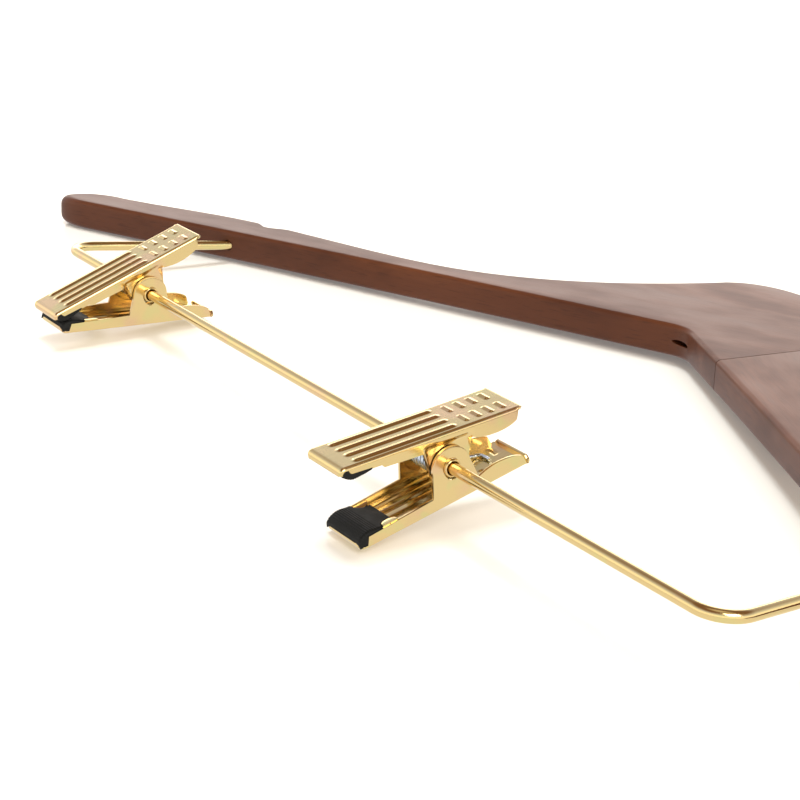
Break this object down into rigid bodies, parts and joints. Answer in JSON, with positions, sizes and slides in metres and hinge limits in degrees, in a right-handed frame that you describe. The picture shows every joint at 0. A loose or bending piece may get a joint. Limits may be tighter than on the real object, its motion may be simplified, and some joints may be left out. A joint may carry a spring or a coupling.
{
  "type": "clip hanger",
  "caption": "Wooden clothes hanger with a turning wire hook and a brass wire bar that carries sliding spring clips with rubber pads.",
  "frame": {"origin": "on the flat back face of the wood, at the middle of the head on the axis of the hook", "axes": "+X along the wire bar, +Y towards the hook, +Z out of the front face of the wood"},
  "size_m": [0.445, 0.2752, 0.0339],
  "materials": {
    "wood": "dark reddish brown stain under satin lacquer",
    "brass": "bright pale gold plating on steel",
    "rubber": "matt black moulded rubber, finely ribbed",
    "spring_steel": "bright zinc plated wire"
  },
  "bodies": {
    "hanger": {"arm_left": "wood", "arm_right": "wood", "joint_tongue": "wood", "clip_bar": "brass", "hook_ferrule": "brass", "hook_washer": "brass"},
    "hook": {"hook": "brass", "hook_nut": "brass"},
    "left_carrier": {"left_pivot_eyelet": "brass"},
    "left_lower_jaw": {"left_lower_lever": "brass", "left_lower_pad": "rubber", "left_spring": "spring_steel"},
    "left_upper_jaw": {"left_upper_lever": "brass", "left_upper_pad": "rubber"},
    "right_carrier": {"right_pivot_eyelet": "brass"},
    "right_lower_jaw": {"right_lower_lever": "brass", "right_lower_pad": "rubber", "right_spring": "spring_steel"},
    "right_upper_jaw": {"right_upper_lever": "brass", "right_upper_pad": "rubber"}
  },
  "joints": [
    {"name": "hook_turn", "type": "hinge", "parent": "hanger", "child": "hook", "pos_m": [0, 0.03, 0.0048], "axis": [0, 1, 0], "continuous": true},
    {"name": "left_clip_slide", "type": "slide", "parent": "hanger", "child": "left_carrier", "axis": [1, 0, 0], "range_m": [-0.0355, 0.097]},
    {"name": "left_clip_swing", "type": "hinge", "parent": "left_carrier", "child": "left_lower_jaw", "pos_m": [-0.1065, -0.1435, 0.0082], "axis": [1, 0, 0], "continuous": true},
    {"name": "left_jaw_open", "type": "hinge", "parent": "left_lower_jaw", "child": "left_upper_jaw", "pos_m": [-0.1065, -0.1435, 0.0082], "axis": [-1, 0, 0], "range_deg": [0, 40], "stiffness_Nm_per_rad": 0.4, "springref_deg": -28.65, "deforming": ["left_spring"]},
    {"name": "right_clip_slide", "type": "slide", "parent": "hanger", "child": "right_carrier", "axis": [1, 0, 0], "range_m": [-0.0455, 0.087]},
    {"name": "right_clip_swing", "type": "hinge", "parent": "right_carrier", "child": "right_lower_jaw", "pos_m": [0.055, -0.1435, 0.0082], "axis": [1, 0, 0], "continuous": true},
    {"name": "right_jaw_open", "type": "hinge", "parent": "right_lower_jaw", "child": "right_upper_jaw", "pos_m": [0.055, -0.1435, 0.0082], "axis": [-1, 0, 0], "range_deg": [-31, 9], "stiffness_Nm_per_rad": 0.4, "springref_deg": -59.64, "deforming": ["right_spring"]}
  ]
}
